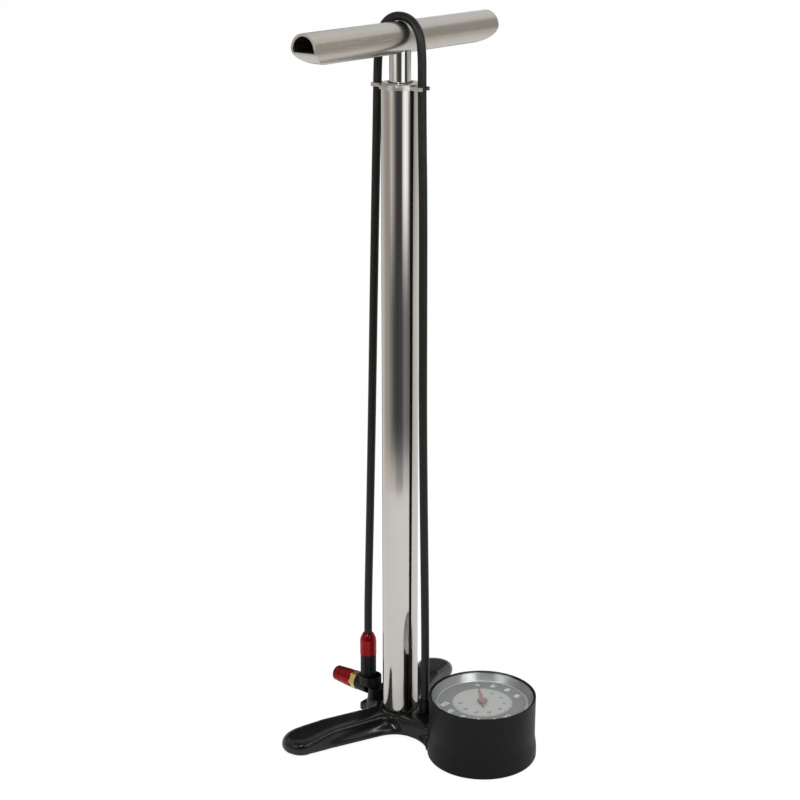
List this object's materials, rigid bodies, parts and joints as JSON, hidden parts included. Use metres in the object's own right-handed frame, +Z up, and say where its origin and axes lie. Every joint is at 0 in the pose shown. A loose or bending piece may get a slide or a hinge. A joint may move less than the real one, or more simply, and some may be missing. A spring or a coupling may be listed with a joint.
{
  "type": "floor bike pump",
  "caption": "Upright tyre pump on a splayed cast base, with a dial gauge in a round cup, a tubular handle and a hose looped over the top to a docked brass and red chuck.",
  "frame": {"origin": "on the barrel's axis, at floor level", "axes": "+Z up along the barrel, -Y towards the gauge, X along the handle"},
  "size_m": [0.2328, 0.2207, 0.6442],
  "materials": {
    "gloss_black_paint": "gloss",
    "foot_rubber": "matt",
    "polished_barrel": "polished",
    "polished_aluminium": "polished",
    "handle_aluminium": "polished",
    "rod_chrome": "polished",
    "plated_steel": "satin",
    "seal_rubber": "matt",
    "acetal": "satin",
    "black_acetal": "satin",
    "satin_black": "satin",
    "silver_bezel": "satin",
    "dial_grey": "satin",
    "needle_red": "satin",
    "lens": "clear",
    "brass": "polished",
    "hose_black": "satin",
    "red_anodised": "satin",
    "black_alloy": "satin"
  },
  "bodies": {
    "base": {"base_casting": "gloss_black_paint", "foot_pad_left": "foot_rubber", "foot_pad_right": "foot_rubber", "gauge_foot": "foot_rubber", "barrel_tube": "polished_barrel", "barrel_gasket": "seal_rubber", "check_valve_body": "brass", "check_valve_seat": "seal_rubber", "check_spring": "plated_steel", "hose_hanger": "polished_aluminium", "top_cap": "polished_aluminium", "rod_bushing": "acetal", "rod_wiper": "seal_rubber", "gauge_cup": "satin_black", "gauge_bezel": "silver_bezel", "gauge_lens": "lens", "gauge_dial": "dial_grey", "gauge_socket": "brass", "bourdon_tube": "brass", "gauge_movement": "brass", "gauge_screws": "plated_steel", "hose": "hose_black", "hose_port": "black_alloy", "dock_post": "black_alloy", "dock_screw": "plated_steel"},
    "piston": {"piston_head": "black_acetal", "piston_seal": "seal_rubber", "piston_bumper": "seal_rubber"},
    "handle": {"piston_rod": "rod_chrome", "rod_top_plug": "plated_steel", "rod_bottom_plug": "plated_steel", "piston_washer": "plated_steel", "piston_bolt": "plated_steel", "handle": "handle_aluminium"},
    "needle": {"gauge_needle": "needle_red", "gauge_spindle": "plated_steel"},
    "chuck": {"chuck_head": "black_alloy", "hose_sleeve": "black_alloy", "hose_collar": "red_anodised", "nozzle_adapter": "brass"},
    "nozzle": {"nozzle_collar": "red_anodised", "nozzle_gland": "seal_rubber"},
    "check_ball": {"check_ball": "plated_steel"}
  },
  "joints": [
    {"name": "piston_slide", "type": "slide", "parent": "base", "child": "piston", "axis": [0, 0, 1], "range_m": [0, 0.5], "deforming": ["hose"]},
    {"name": "handle_turn", "type": "hinge", "parent": "piston", "child": "handle", "pos_m": [0, 0, 0.6234], "axis": [0, 0, 1], "range_deg": [-30, 30]},
    {"name": "needle_turn", "type": "hinge", "parent": "base", "child": "needle", "pos_m": [0, -0.0943, 0.052], "axis": [0, 0, -1], "range_deg": [0, 270], "stiffness_Nm_per_rad": 0.0005},
    {"name": "chuck_lift", "type": "slide", "parent": "base", "child": "chuck", "axis": [0, 0, 1], "range_m": [0, 0.012]},
    {"name": "nozzle_turn", "type": "hinge", "parent": "chuck", "child": "nozzle", "pos_m": [0, 0.06, 0.026], "axis": [0, 1, 0], "continuous": true},
    {"name": "valve_lift", "type": "slide", "parent": "base", "child": "check_ball", "axis": [0, 0, -1], "range_m": [0, 0.0014], "stiffness_N_per_m": 20, "springref_m": -0.002, "deforming": ["check_spring"]}
  ]
}
